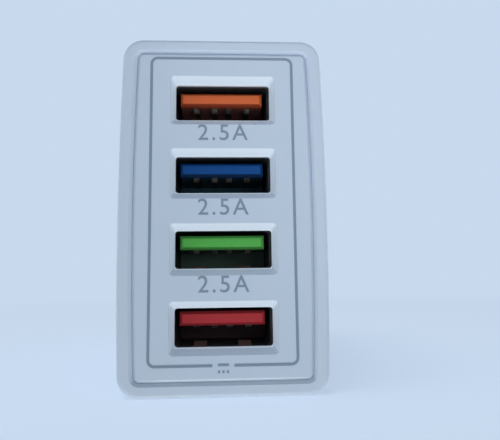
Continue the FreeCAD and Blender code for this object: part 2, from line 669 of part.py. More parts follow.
def socket_tongue(number):
    """Insulator of one port: block at the back of the shell and tongue to the front."""
    body = new_part(f"socket_tongue_{number + 1}")
    clearance = "2 * (Size.shell_wall + Size.block_gap)"
    block_start = "(Size.shell_length - Size.block_length)"
    sketch = front_sketch(body, "block_outline", block_start)
    bevelled_rectangle(sketch, f"Size.shell_width - {clearance}", f"Size.shell_height - {clearance}",
                       "Size.block_corner")
    pad_back(body, "block", sketch, "Size.block_length")
    blade = front_sketch(body, "tongue_outline", "Size.tongue_setback")
    rectangle(blade, "Size.tongue_width", "Size.tongue_thickness", "0",
              "(Size.tongue_rise + Size.tongue_thickness / 2)")
    tongue = pad_back(body, "tongue", blade, f"{block_start} - Size.tongue_setback")
    bevel_edges(body, "tip", tongue, "Size.tongue_bevel", lies_at_depth(size("Size.tongue_setback")))
    slots = front_sketch(body, "contact_slots", "Size.tongue_setback + Size.contact_setback")
    slot_width = "Size.contact_width + 2 * Size.contact_fit"
    slot_height = "(Size.contact_thickness + 2 * Size.contact_fit)"
    for sign in ("-", "+"):
        for across in ("Size.contact_inner", "Size.contact_outer"):
            rectangle(slots, slot_width, slot_height, f"{sign}{across}",
                      "(Size.tongue_rise + Size.contact_thickness / 2)")
    pocket_back(body, "slots", slots, "Size.shell_length - Size.tongue_setback - Size.contact_setback")
    place(body, SOCKET_ACROSS, SOCKET_DEPTH, port_height(number))


def socket_contacts(number):
    """Four bowed contact springs of one port, in the slots under its tongue."""
    body = new_part(f"socket_contacts_{number + 1}")
    front = "(Size.tongue_setback + Size.contact_setback + Size.contact_fit)"
    back = "(Size.shell_length + Size.contact_tail)"
    low = "Size.tongue_rise"
    high = "(Size.tongue_rise + Size.contact_thickness)"
    steps = [f"({front} + {count} * Size.contact_step)" for count in (1, 2, 3)]
    profile = [(front, low), (steps[0], f"{low} - Size.contact_bulge"),
               (steps[1], f"{low} - Size.contact_bulge"), (steps[2], low), (back, low),
               (back, high), (steps[2], high), (steps[1], f"{high} - Size.contact_bulge"),
               (steps[0], f"{high} - Size.contact_bulge"), (front, high)]
    springs = []
    for name, across in (("inner", "Size.contact_inner"), ("outer", "Size.contact_outer")):
        sketch = new_sketch(body, f"{name}_profile", "YZ_Plane", across)
        outline(sketch, profile)
        springs.append(pad_both_ways(body, f"{name}_spring", sketch, "Size.contact_width"))
    mirrored = body.newObject("PartDesign::Mirrored", "left_springs")
    mirrored.Originals = springs
    mirrored.MirrorPlane = (origin_feature(body, "YZ_Plane"), [""])
    body.Tip = mirrored
    place(body, SOCKET_ACROSS, SOCKET_DEPTH, port_height(number))


# Transformer: ferrite core round a bobbin that carries the winding, on its side against the board.
CORE_WINDOW = "((Size.core_width - Size.core_middle) / 2 - Size.core_leg)"
CORE_INSIDE = "(Size.core_length - 2 * Size.core_leg)"
BOBBIN_LENGTH = f"({CORE_INSIDE} - 2 * Size.bobbin_gap)"
TUBE_WIDTH = "(Size.core_middle + 2 * Size.bobbin_gap + 2 * Size.bobbin_wall)"
TUBE_DEPTH = "(Size.core_thickness + 2 * Size.bobbin_gap + 2 * Size.bobbin_wall)"
FLANGE_WIDTH = f"(Size.core_middle + 2 * {CORE_WINDOW} - 2 * Size.bobbin_gap)"


def place_transformer(body):
    """Put a piece of the transformer with the bobbin's flanges against the board."""
    place(body, f"{BOARD_FACE} - Size.bobbin_height / 2", TRANSFORMER_DEPTH, "0")


def transformer_core():
    """Closed ferrite core with two windows beside its middle leg."""
    body = new_part("transformer_core")
    sketch = new_sketch(body, "core_outline", "YZ_Plane")
    rectangle(sketch, "Size.core_length", "Size.core_width")
    middle = f"((Size.core_middle + {CORE_WINDOW}) / 2)"
    for sign in ("-", "+"):
        rectangle(sketch, CORE_INSIDE, CORE_WINDOW, "0", f"{sign}{middle}")
    pad_both_ways(body, "core", sketch, "Size.core_thickness")
    place_transformer(body)


def transformer_bobbin():
    """Bobbin on the core's middle leg: a tube between two flanges."""
    body = new_part("transformer_bobbin")
    tube = front_sketch(body, "tube_outline")
    rectangle(tube, TUBE_DEPTH, TUBE_WIDTH)
    pad_both_ways(body, "tube", tube, BOBBIN_LENGTH)
    flange_starts = {"front": f"-{BOBBIN_LENGTH} / 2", "back": f"{BOBBIN_LENGTH} / 2 - Size.bobbin_wall"}
    for name, start in flange_starts.items():
        flange = front_sketch(body, f"{name}_flange_outline", start)
        rectangle(flange, "Size.bobbin_height", FLANGE_WIDTH)
        pad_back(body, f"{name}_flange", flange, "Size.bobbin_wall")
    hole = front_sketch(body, "leg_hole", f"-{BOBBIN_LENGTH} / 2")
    rectangle(hole, "Size.core_thickness + 2 * Size.bobbin_gap", "Size.core_middle + 2 * Size.bobbin_gap")
    pocket_back(body, "leg_passage", hole, BOBBIN_LENGTH)
    place_transformer(body)


def transformer_winding():
    """Copper winding with its tape, between the bobbin's flanges."""
    body = new_part("transformer_winding")
    sketch = front_sketch(body, "winding_outline")
    rectangle(sketch, "Size.bobbin_height - 2 * Size.winding_inset",
              f"{FLANGE_WIDTH} - 2 * Size.winding_inset")
    length = f"{BOBBIN_LENGTH} - 2 * Size.bobbin_wall - 2 * Size.winding_gap"
    winding = pad_both_ways(body, "winding", sketch, length)
    round_edges(body, "turns", winding, "2 * Size.winding_inset", runs_along((0, 1, 0)))
    hole = front_sketch(body, "tube_hole", f"-({length}) / 2")
    rectangle(hole, f"{TUBE_DEPTH} + 2 * Size.winding_gap", f"{TUBE_WIDTH} + 2 * Size.winding_gap")
    pocket_back(body, "tube_passage", hole, length)
    place_transformer(body)


# Parts that stand on the board, each turned or moulded and pointing away from it.
def turned_part(label, half_section, height, end_bevel):
    """Turned part that stands on the board; its half section runs from the board outwards."""
    body = new_part(label)
    sketch = new_sketch(body, "half_section", "XY_Plane")
    outline(sketch, [(f"-({out})", radius) for out, radius in half_section])
    turned = revolve(body, "turned", sketch, "X_Axis")
    end = -size(height)
    bevel_edges(body, "end_edge", turned, end_bevel,
                lambda edge: max(abs(edge.BoundBox.XMin - end), abs(edge.BoundBox.XMax - end)) < SAME_PLACE)
    return body


def capacitor_can(label, diameter, height, depth, rise):
    """Electrolytic capacitor: can with a bevelled end."""
    radius = f"{diameter} / 2"
    section = [("0", "0"), ("0", radius), (height, radius), (height, "0")]
    body = turned_part(label, section, height, "Size.can_bevel")
    place(body, BOARD_FACE, depth, rise)


def fuse():
    """Fuse with a wider metal cap at each end."""
    radius = "Size.fuse_diameter / 2"
    barrel = f"({radius} - Size.flange_step)"
    height = "Size.fuse_height"
    section = [("0", "0"), ("0", radius), ("Size.fuse_cap", radius), ("Size.fuse_cap", barrel),
               (f"{height} - Size.fuse_cap", barrel), (f"{height} - Size.fuse_cap", radius),
               (height, radius), (height, "0")]
    body = turned_part("fuse", section, height, "Size.flange_bevel")
    place(body, BOARD_FACE, "Size.body_length - Size.fuse_from_rear",
          f"{BOARD_EDGE} - Size.fuse_edge - {radius}")


def input_choke():
    """Drum choke: winding between two wider flanges."""
    radius = "Size.choke_diameter / 2"
    coil = f"({radius} - Size.flange_step)"
    height = "Size.choke_height"
    section = [("0", "0"), ("0", radius), ("Size.choke_flange", radius), ("Size.choke_flange", coil),
               (f"{height} - Size.choke_flange", coil), (f"{height} - Size.choke_flange", radius),
               (height, radius), (height, "0")]
    body = turned_part("input_choke", section, height, "Size.flange_bevel")
    depth = f"{OUTPUT_FRONT} + Size.diode_width + Size.choke_gap + {radius}"
    place(body, BOARD_FACE, depth, f"{BOARD_EDGE} - Size.choke_edge - {radius}")


def safety_capacitor():
    """Disc capacitor that stands on its edge, across the safety slot."""
    body = new_part("safety_capacitor")
    sketch = front_sketch(body, "disc_outline")
    circle(sketch, "Size.disc_diameter")
    pad_both_ways(body, "disc", sketch, "Size.disc_thickness")
    place(body, f"{BOARD_FACE} - Size.disc_diameter / 2", DISC_DEPTH, DISC_HEIGHT)


def moulded_package(label, prefix, depth, rise):
    """Moulded package flat on the board, its sides drafted towards its top."""
    body = new_part(label)
    sketch = new_sketch(body, "package_outline", "YZ_Plane")
    rectangle(sketch, f"Size.{prefix}_width", f"Size.{prefix}_length")
    package = extrude(body, "Pad", "package", sketch, f"Size.{prefix}_height", True)
    package.setExpression("TaperAngle", "-Size.package_draft")
    doc.recompute()
    place(body, BOARD_FACE, depth, rise)


main_housing()
port_panel()
rear_cover()
for place_name, sign in (("upper", "+"), ("lower", "-")):
    pin_height = f"({sign}Size.pin_spacing / 2)"
    mains_pin(f"mains_pin_{place_name}", pin_height)
    pin_sleeve(f"pin_sleeve_{place_name}", pin_height)
    mains_strip(f"mains_strip_{place_name}", pin_height)
main_board()
for port in range(PORT_COUNT):
    socket_shell(port)
    socket_tongue(port)
    socket_contacts(port)
transformer_core()
transformer_bobbin()
transformer_winding()
bulk_depth = "Size.body_length - Size.bulk_from_rear"
capacitor_can("mains_capacitor_1", "Size.bulk_diameter", "Size.bulk_height", bulk_depth, "0")
capacitor_can("mains_capacitor_2", "Size.bulk_diameter", "Size.bulk_height", bulk_depth,
              f"(-{BOARD_EDGE} + Size.bulk_edge + Size.bulk_diameter / 2)")
output_depth = f"{OUTPUT_FRONT} + Size.output_diameter / 2"
for number, sign in ((1, "+"), (2, "-")):
    capacitor_can(f"output_capacitor_{number}", "Size.output_diameter", "Size.output_height", output_depth,
                  f"({sign}Size.output_spread / 2)")
fuse()
input_choke()
safety_capacitor()
chip_depth = f"{DISC_DEPTH} + Size.disc_thickness / 2 + Size.chip_gap + Size.chip_width / 2"
moulded_package("bridge_rectifier", "bridge", "Size.body_length - Size.bridge_from_rear",
                f"({BOARD_EDGE} - Size.bridge_edge - Size.bridge_length / 2)")
moulded_package("switching_controller", "chip", chip_depth,
                f"(-{BOARD_EDGE} + Size.chip_edge + Size.chip_length / 2)")
moulded_package("optical_coupler", "coupler", f"{OUTPUT_FRONT} + Size.coupler_width / 2",
                f"(-{BOARD_EDGE} + Size.coupler_edge + Size.coupler_length / 2)")
moulded_package("output_rectifier", "diode", f"{OUTPUT_FRONT} + Size.diode_width / 2",
                f"({BOARD_EDGE} - Size.diode_edge - Size.diode_length / 2)")
doc.recompute()

# Every object has to be sound before any file is written.
for item in doc.Objects:
    if "Invalid" in item.State or "Error" in item.State:
        raise RuntimeError(f"{item.Label} failed: {item.State}")
for part in parts:
    if part.Shape.isNull() or not part.Shape.isValid():
        raise RuntimeError(f"{part.Label} has no valid shape")

os.makedirs("parts", exist_ok=True)
for part in parts:
    part.Shape.exportStep(f"parts/{part.Label}.step")
    print(f"{part.Label}: {len(part.Shape.Solids)} solid(s), {part.Shape.Volume:.1f} mm3")
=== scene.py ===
"""Looks of the wall charger: printed marks, finishes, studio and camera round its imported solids."""

import logging
import math
from dataclasses import dataclass
from enum import Enum
from typing import Any, Iterable, Optional, Union

import bmesh
import bpy
from mathutils import Matrix, Quaternion, Vector


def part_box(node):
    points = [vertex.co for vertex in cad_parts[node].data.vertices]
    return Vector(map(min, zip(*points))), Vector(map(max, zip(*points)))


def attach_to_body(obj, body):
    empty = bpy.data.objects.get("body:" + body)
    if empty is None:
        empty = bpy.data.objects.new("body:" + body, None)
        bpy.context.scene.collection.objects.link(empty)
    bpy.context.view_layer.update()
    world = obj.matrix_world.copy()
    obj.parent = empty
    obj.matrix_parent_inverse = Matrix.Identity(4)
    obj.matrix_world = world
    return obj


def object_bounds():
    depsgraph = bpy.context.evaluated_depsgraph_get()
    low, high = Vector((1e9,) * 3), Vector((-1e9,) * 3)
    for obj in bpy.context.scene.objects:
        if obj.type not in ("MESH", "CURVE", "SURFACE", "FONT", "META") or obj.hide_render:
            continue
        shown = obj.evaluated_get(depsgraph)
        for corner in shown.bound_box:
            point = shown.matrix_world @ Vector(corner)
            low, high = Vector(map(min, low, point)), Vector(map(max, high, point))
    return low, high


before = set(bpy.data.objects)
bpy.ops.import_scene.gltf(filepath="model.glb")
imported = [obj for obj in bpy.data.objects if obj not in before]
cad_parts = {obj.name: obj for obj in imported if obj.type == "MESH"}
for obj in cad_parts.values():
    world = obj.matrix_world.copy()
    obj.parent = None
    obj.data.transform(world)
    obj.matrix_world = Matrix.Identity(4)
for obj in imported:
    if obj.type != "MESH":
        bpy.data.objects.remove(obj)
CAD_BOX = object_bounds()

MM = 0.001
BODY = "root"
FLOOR = "floor"
LOG = logging.getLogger("charger")

Rgba = tuple[float, float, float, float]
Triple = tuple[float, float, float]
Span = tuple[float, float]

EVEN: Triple = (1.0, 1.0, 1.0)
WARM: Triple = (1.0, 0.97, 0.92)
UPRIGHT: Triple = (math.pi / 2, 0.0, 0.0)
# Blender's wave pattern runs through this many radians per unit.
WAVE_RATE = 20.0


@dataclass(frozen=True)
class Colour:
    """A colour as it looks under plain light, each part from 0 to 255."""

    red: float
    green: float
    blue: float

    def shade(self, factor: float = 1.0) -> Rgba:
        """Linear value of the colour, made lighter or darker by a factor, with a full alpha."""
        return (*(factor * self._linear(part) for part in (self.red, self.green, self.blue)), 1.0)

    @staticmethod
    def _linear(part: float) -> float:
        """Linear value of one display value."""
        level = part / 255.0
        return level / 12.92 if level <= 0.04045 else ((level + 0.055) / 1.055) ** 2.4


class Axis(Enum):
    """Axes of the charger: across the face, from the ports to the pins, and up."""

    ACROSS = 0
    DEPTH = 1
    UP = 2


class Detail(Enum):
    """How many finer layers a random pattern has."""

    NONE = 0.0
    SOFT = 2.0
    FINE = 3.0
    FINEST = 4.0


@dataclass(frozen=True)
class Slope:
    """Faces that lean along an axis; its spans say how far they face along it where they begin and end."""

    axis: Axis
    begin: Span
    end: Span


LOWER_BEVEL = Slope(Axis.UP, (-0.9, -0.8), (-0.3, -0.1))
UPPER_BEVEL = Slope(Axis.UP, (0.25, 0.5), (0.88, 0.96))
FRONT_BEVEL = Slope(Axis.DEPTH, (-0.7, -0.5), (-0.3, -0.1))
SILL: Span = (0.1, 0.5)


class Value:
    """A number that varies over a surface; Python operators on it add Math nodes."""

    def __init__(self, graph: "Graph", socket: bpy.types.NodeSocket) -> None:
        """Wrap an output socket of a graph's node."""
        self.graph = graph
        self.socket = socket

    def _math(self, operation: str, first: "Operand", second: "Operand") -> "Value":
        """Add one Math node.

        Args:
            operation: the Math node's operation.
            first: first operand.
            second: second operand.

        Returns:
            The node's result.
        """
        node = self.graph.node("ShaderNodeMath", {"operation": operation}, {0: first, 1: second})
        return Value(self.graph, node.outputs[0])

    def __add__(self, other: "Operand") -> "Value":
        """Sum."""
        return self._math("ADD", self, other)

    def __radd__(self, other: "Operand") -> "Value":
        """Sum with a number on the left."""
        return self._math("ADD", other, self)

    def __sub__(self, other: "Operand") -> "Value":
        """Difference."""
        return self._math("SUBTRACT", self, other)

    def __rsub__(self, other: "Operand") -> "Value":
        """Difference from a number on the left."""
        return self._math("SUBTRACT", other, self)

    def __mul__(self, other: "Operand") -> "Value":
        """Product."""
        return self._math("MULTIPLY", self, other)

    def __rmul__(self, other: "Operand") -> "Value":
        """Product with a number on the left."""
        return self._math("MULTIPLY", other, self)

    def __lt__(self, other: "Operand") -> "Value":
        """One where it is less than the other, else zero."""
        return self._math("LESS_THAN", self, other)

    def ramp(self, low: float, high: float) -> "Value":
        """Smooth step from zero to one.

        Args:
            low: value that gives zero.
            high: value that gives one.

        Returns:
            The step, held between zero and one.
        """
        node = self.graph.node(
            "ShaderNodeMapRange",
            {"interpolation_type": "SMOOTHSTEP"},
            {"Value": self, "From Min": low, "From Max": high, "To Min": 0.0, "To Max": 1.0},
        )
        return Value(self.graph, node.outputs[0])


Operand = Union[Value, float]
Feed = Union[Value, bpy.types.NodeSocket, float, tuple]


class Graph:
    """Nodes of one material or of the world."""

    def __init__(self, tree: bpy.types.NodeTree) -> None:
        """Start with an empty tree."""
        self.tree = tree
        self.tree.nodes.clear()

    def node(
        self,
        kind: str,
        settings: Optional[dict[str, Any]] = None,
        sockets: Optional[dict[Union[str, int], Feed]] = None,
    ) -> bpy.types.Node:
        """Add any node.

        Args:
            kind: the node's type.
            settings: its own settings, set first.
            sockets: values or links of its inputs, by name or place.

        Returns:
            The new node.
        """
        made = self.tree.nodes.new(kind)
        for name, setting in (settings or {}).items():
            setattr(made, name, setting)
        for key, feed in (sockets or {}).items():
            source = feed.socket if isinstance(feed, Value) else feed
            if isinstance(source, bpy.types.NodeSocket):
                self.tree.links.new(source, made.inputs[key])
            else:
                made.inputs[key].default_value = source
        return made

    def mix_shaders(self, factor: Feed, first: bpy.types.Node, second: bpy.types.Node) -> bpy.types.Node:
        """Mix two shaders.

        Args:
            factor: share of the second shader.
            first: shader at zero.
            second: shader at one.

        Returns:
            The Mix Shader node.
        """
        feeds = {0: factor, 1: first.outputs[0], 2: second.outputs[0]}
        return self.node("ShaderNodeMixShader", None, feeds)

    def seen_directly(self) -> Value:
        """Find the rays that show the background.

        Returns:
            One for rays from the camera, in gloss or through glass, else zero.
        """
        path = self.node("ShaderNodeLightPath")
        kinds = ("Camera", "Glossy", "Transmission")
        camera, glossy, transmission = (Value(self, path.outputs[f"Is {kind} Ray"]) for kind in kinds)
        return camera + glossy + transmission


class Surface(Graph):
    """Node graph of one procedural material, patterned in Object coordinates."""

    def __init__(self, name: str) -> None:
        """Start the material of a finish.

        Args:
            name: the material's name.
        """
        self.material = bpy.data.materials.new(name)
        self.material.use_nodes = True
        super().__init__(self.material.node_tree)
        self.place = self.node("ShaderNodeTexCoord").outputs["Object"]

    def stretched(self, stretch: Triple) -> bpy.types.NodeSocket:
        """Object coordinates scaled along each axis."""
        feeds = {"Vector": self.place, "Scale": stretch}
        return self.node("ShaderNodeMapping", None, feeds).outputs["Vector"]

    def noise(self, size: float, detail: Detail = Detail.SOFT, stretch: Triple = EVEN) -> Value:
        """Soft random pattern.

        Args:
            size: width of its features in metres.
            detail: how many finer layers it has.
            stretch: scale along each axis; under one draws the features out.

        Returns:
            Values about one half.
        """
        feeds = {"Vector": self.stretched(stretch), "Scale": 1.0 / size, "Detail": detail.value}
        return Value(self, self.node("ShaderNodeTexNoise", None, feeds).outputs[0])

    def specks(self, spacing: float, radius: float, share: float) -> Value:
        """Scattered round spots.

        Args:
            spacing: width of the cells that may hold a spot, in metres.
            radius: radius of a spot in metres.
            share: share of the cells that hold one.

        Returns:
            One inside a spot and zero outside.
        """
        cells = self.node("ShaderNodeTexVoronoi", None, {"Vector": self.place, "Scale": 1.0 / spacing})
        lottery = self.node("ShaderNodeSeparateColor", None, {0: cells.outputs["Color"]})
        distance = Value(self, cells.outputs["Distance"])
        spot = 1.0 - distance.ramp(0.5 * radius / spacing, radius / spacing)
        return spot * (Value(self, lottery.outputs[0]) < share)

    def along(self, axis: Axis) -> Value:
        """Object coordinate along an axis, in metres."""
        return Value(self, self.node("ShaderNodeSeparateXYZ", None, {0: self.place}).outputs[axis.value])

    def facing(self, axis: Axis) -> Value:
        """How far the surface faces along an axis, from minus one to one."""
        normal = self.node("ShaderNodeNewGeometry").outputs["Normal"]
        return Value(self, self.node("ShaderNodeSeparateXYZ", None, {0: normal}).outputs[axis.value])

    def sloping(self, slope: Slope) -> Value:
        """One on the faces of a slope, zero on flatter and steeper ones."""
        facing = self.facing(slope.axis)
        return facing.ramp(*slope.begin) * (1.0 - facing.ramp(*slope.end))

    def bands(self, pitch: float, axis: Axis) -> Value:
        """Even ridges across an axis.

        Args:
            pitch: from one ridge to the next, in metres.
            axis: the axis that they follow each other along.

        Returns:
            Waves between zero and one.
        """
        settings = {"wave_type": "BANDS", "bands_direction": "XYZ"[axis.value], "wave_profile": "SIN"}
        feeds = {"Vector": self.place, "Scale": 2.0 * math.pi / (WAVE_RATE * pitch)}
        return Value(self, self.node("ShaderNodeTexWave", settings, feeds).outputs[1])

    def mix(self, factor: Feed, first: Feed, second: Feed) -> bpy.types.NodeSocket:
        """Mix two colours.

        Args:
            factor: share of the second colour.
            first: colour at zero.
            second: colour at one.

        Returns:
            The mixed colour's socket.
        """
        node = self.node("ShaderNodeMix", {"data_type": "RGBA"}, {0: factor, 6: first, 7: second})
        return node.outputs[2]

    def varied(self, pattern: Value, colour: Colour, spread: float) -> bpy.types.NodeSocket:
        """A colour that a pattern makes darker and lighter by up to a share of it."""
        return self.mix(pattern, colour.shade(1.0 - spread), colour.shade(1.0 + spread))

    def toned(self, base: bpy.types.NodeSocket, tones: Iterable["Tone"]) -> bpy.types.NodeSocket:
        """Lay tones over a colour.

        Args:
            base: the colour under them.
            tones: the tones, the lowest first.

        Returns:
            The toned colour's socket.
        """
        for tone in tones:
            base = self.mix(tone.factor(self), base, tone.colour.shade())
        return base

    def relief(self, height: Value, depth: float, strength: float = 1.0) -> bpy.types.NodeSocket:
        """Normal of a fine relief.

        Args:
            height: pattern of the relief.
            depth: height of the relief in metres.
            strength: share of the relief that shows.

        Returns:
            The bumped normal's socket.
        """
        feeds = {"Height": height, "Distance": depth, "Strength": strength}
        return self.node("ShaderNodeBump", None, feeds).outputs[0]

    def close(self, **feeds: Feed) -> bpy.types.Material:
        """Finish the material with one Principled shader.

        Args:
            feeds: the shader's sockets, with underscores for spaces.

        Returns:
            The finished material.
        """
        sockets = {name.replace("_", " "): feed for name, feed in feeds.items()}
        shader = self.node("ShaderNodeBsdfPrincipled", None, sockets)
        self.node("ShaderNodeOutputMaterial", None, {0: shader.outputs[0]})
        return self.material


@dataclass(frozen=True)
class Tone:
    """Another colour over part of a finish."""

    colour: Colour

    def factor(self, surface: Surface) -> Value:
        """Share of this tone on a surface; each kind of tone has its own."""
        raise NotImplementedError


@dataclass(frozen=True)
class SlopeTone(Tone):
    """Tone of the faces that lean along an axis."""

    slope: Slope

    def factor(self, surface: Surface) -> Value:
        """Share of this tone on a surface."""
        return surface.sloping(self.slope)


@dataclass(frozen=True)
class DepthTone(Tone):
    """Tone from some depth behind an upright face."""

    face: float
    start: float
    end: float

    def factor(self, surface: Surface) -> Value:
        """Share of this tone on a surface."""
        return surface.along(Axis.DEPTH).ramp(self.face + self.start, self.face + self.end)


@dataclass(frozen=True)
class WindowTone(DepthTone):
    """Tone inside the windows only, and not far from the panel's middle."""

    inner: float
    outer: float

    def factor(self, surface: Surface) -> Value:
        """Find where the tone lies.

        Args:
            surface: the surface that it colours.

        Returns:
            Share of this tone.
        """
        across = surface.along(Axis.ACROSS)
        central = 1.0 - (across * across).ramp(self.inner ** 2, self.outer ** 2)
        return super().factor(surface) * central


@dataclass(frozen=True)
class BevelLightTone(WindowTone):
    """Painted light on the bevels round the windows, but not on sills that face up."""

    def factor(self, surface: Surface) -> Value:
        """Share of this tone on a surface."""
        return super().factor(surface) * (1.0 - surface.facing(Axis.UP).ramp(*SILL))


@dataclass(frozen=True)
class RimShadeTone(DepthTone):
    """Painted shade on bevels that face up, close behind an upright face."""

    def factor(self, surface: Surface) -> Value:
        """Share of this tone on a surface."""
        return (1.0 - super().factor(surface)) * surface.sloping(UPPER_BEVEL)


@dataclass(frozen=True)
class LowerEdgeShadeTone(DepthTone):
    """Painted shade on bevels that face down, from some depth behind an upright face."""

    def factor(self, surface: Surface) -> Value:
        """Share of this tone on a surface."""
        return super().factor(surface) * surface.sloping(LOWER_BEVEL)


@dataclass(frozen=True)
class Finish:
    """What a piece is made of or coated with."""

    name: str

    def material(self) -> bpy.types.Material:
        """Material of this finish; each kind of finish makes its own."""
        raise NotImplementedError


@dataclass(frozen=True)
class MouldedPlastic(Finish):
    """Moulded plastic: satin grain, faint mottling, rubbed patches and a few dark specks."""

    colour: Colour
    roughness: float = 0.42
    gloss: float = 0.5
    coat: float = 0.0
    grain_size: float = 0.22 * MM
    grain_depth: float = 0.004 * MM
    grain_roughness: float = 0.08
    rub_size: float = 2.4 * MM
    rub_stretch: Triple = (1.0, 0.25, 1.0)
    rub_roughness: float = 0.12
    mottling: float = 0.03
    mottle_size: float = 1.3 * MM
    mottle_relief: float = 0.5
    cloud_size: float = 9.0 * MM
    cloud_share: float = 0.6
    speck_share: float = 0.0
    speck_spacing: float = 3.4 * MM
    speck_radius: float = 0.2 * MM
    speck_strength: float = 0.6
    speck_shade: float = 0.25
    tones: tuple[Tone, ...] = ()

    def material(self) -> bpy.types.Material:
        """Make the plastic.

        Returns:
            Its material.
        """
        surface = Surface(self.name)
        clouds = surface.noise(self.cloud_size)
        mottle = surface.noise(self.mottle_size, Detail.FINE)
        grain = surface.noise(self.grain_size, Detail.FINE)
        rubbed = surface.noise(self.rub_size, stretch=self.rub_stretch)
        cloudy = self.cloud_share * clouds + (1.0 - self.cloud_share) * mottle
        base = surface.varied(cloudy, self.colour, self.mottling)
        if self.speck_share:
            spots = surface.specks(self.speck_spacing, self.speck_radius, self.speck_share)
            base = surface.mix(self.speck_strength * spots, base, self.colour.shade(self.speck_shade))
        smoothest = self.roughness - 0.5 * (self.rub_roughness + self.grain_roughness)
        return surface.close(
            Base_Color=surface.toned(base, self.tones),
            Roughness=smoothest + self.rub_roughness * rubbed + self.grain_roughness * grain,
            Normal=surface.relief(grain + self.mottle_relief * mottle, self.grain_depth),
            Coat_Weight=self.coat,
            Specular_IOR_Level=self.gloss,
        )


@dataclass(frozen=True)
class PlatedMetal(Finish):
    """Plated metal: fine drawn lines, uneven polish and a little tarnish."""

    colour: Colour
    tarnish: Colour
    metallic: float = 1.0
    roughness: float = 0.3
    polish: float = 0.06
    line_stretch: Triple = (1.0, 0.06, 1.0)
    line_size: float = 0.12 * MM
    line_depth: float = 0.003 * MM
    line_roughness: float = 0.14
    stain_size: float = 2.2 * MM
    stain_edges: Span = (0.5, 0.75)
    stain_roughness: float = 0.12
    tones: tuple[Tone, ...] = ()

    def material(self) -> bpy.types.Material:
        """Make the metal.

        Returns:
            Its material.
        """
        surface = Surface(self.name)
        drawn = surface.noise(self.line_size, Detail.FINE, self.line_stretch)
        stained = surface.noise(self.stain_size, Detail.FINEST).ramp(*self.stain_edges)
        base = surface.mix(stained, self.colour.shade(), self.tarnish.shade())
        smoothest = self.roughness - self.polish
        return surface.close(
            Base_Color=surface.toned(base, self.tones),
            Roughness=smoothest + self.line_roughness * drawn + self.stain_roughness * stained,
            Normal=surface.relief(drawn, self.line_depth),
            Metallic=self.metallic,
        )


@dataclass(frozen=True)
class PrintInk(Finish):
    """Pad-printed ink: thin, slightly uneven, with pinholes of the plastic under it."""

    colour: Colour
    ground: Colour
    roughness: float = 0.45
    patch_size: float = 0.35 * MM
    patch_depth: float = 0.002 * MM
    patch_spread: float = 0.08
    patch_roughness: float = 0.15
    pinhole_spacing: float = 0.22 * MM
    pinhole_radius: float = 0.035 * MM
    pinhole_share: float = 0.25
    pinhole_strength: float = 0.45

    def material(self) -> bpy.types.Material:
        """Make the ink.

        Returns:
            Its material.
        """
        surface = Surface(self.name)
        patches = surface.noise(self.patch_size, Detail.FINE)
        pinholes = surface.specks(self.pinhole_spacing, self.pinhole_radius, self.pinhole_share)
        ink = surface.varied(patches, self.colour, self.patch_spread)
        return surface.close(
            Base_Color=surface.mix(self.pinhole_strength * pinholes, ink, self.ground.shade()),
            Roughness=self.roughness + self.patch_roughness * patches,
            Normal=surface.relief(patches, self.patch_depth),
        )


@dataclass(frozen=True)
class CoatedBoard(Finish):
    """Circuit board: solder mask over copper tracks, with tinned pads."""

    mask: Colour
    track: Colour
    tin: Colour
    roughness: float = 0.3
    mottle_size: float = 0.8 * MM
    mottle_roughness: float = 0.15
    track_size: float = 1.6 * MM
    track_stretch: Triple = (1.0, 0.35, 1.0)
    track_edges: Span = (0.5, 0.52)
    pad_spacing: float = 2.5 * MM
    pad_radius: float = 0.55 * MM
    pad_share: float = 0.5
    pad_metallic: float = 0.8
    copper_depth: float = 0.02 * MM

    def material(self) -> bpy.types.Material:
        """Make the board.

        Returns:
            Its material.
        """
        surface = Surface(self.name)
        tracks = surface.noise(self.track_size, Detail.NONE, self.track_stretch).ramp(*self.track_edges)
        pads = surface.specks(self.pad_spacing, self.pad_radius, self.pad_share)
        mottle = surface.noise(self.mottle_size, Detail.FINE)
        masked = surface.mix(tracks, self.mask.shade(), self.track.shade())
        return surface.close(
            Base_Color=surface.mix(pads, masked, self.tin.shade()),
            Roughness=self.roughness + self.mottle_roughness * mottle,
            Normal=surface.relief(tracks + pads, self.copper_depth),
            Metallic=self.pad_metallic * pads,
        )


@dataclass(frozen=True)
class WoundLayers(Finish):
    """Wire or tape in even turns, each turn a low ridge with a darker joint."""

    colour: Colour
    joint: Colour
    pitch: float
    axis: Axis
    roughness: float = 0.35
    metallic: float = 0.0
    mottle_size: float = 1.1 * MM
    mottle_share: float = 0.25
    mottle_roughness: float = 0.2
    joint_edges: Span = (0.1, 0.6)
    ridge_share: float = 0.3
    ridge_strength: float = 0.6

    def material(self) -> bpy.types.Material:
        """Make the winding.

        Returns:
            Its material.
        """
        surface = Surface(self.name)
        turns = surface.bands(self.pitch, self.axis)
        mottle = surface.noise(self.mottle_size, Detail.FINE)
        worn = (1.0 - self.mottle_share) * turns + self.mottle_share * mottle
        return surface.close(
            Base_Color=surface.mix(worn.ramp(*self.joint_edges), self.joint.shade(), self.colour.shade()),
            Roughness=self.roughness + self.mottle_roughness * mottle,
            Normal=surface.relief(turns, self.ridge_share * self.pitch, self.ridge_strength),
            Metallic=self.metallic,
        )


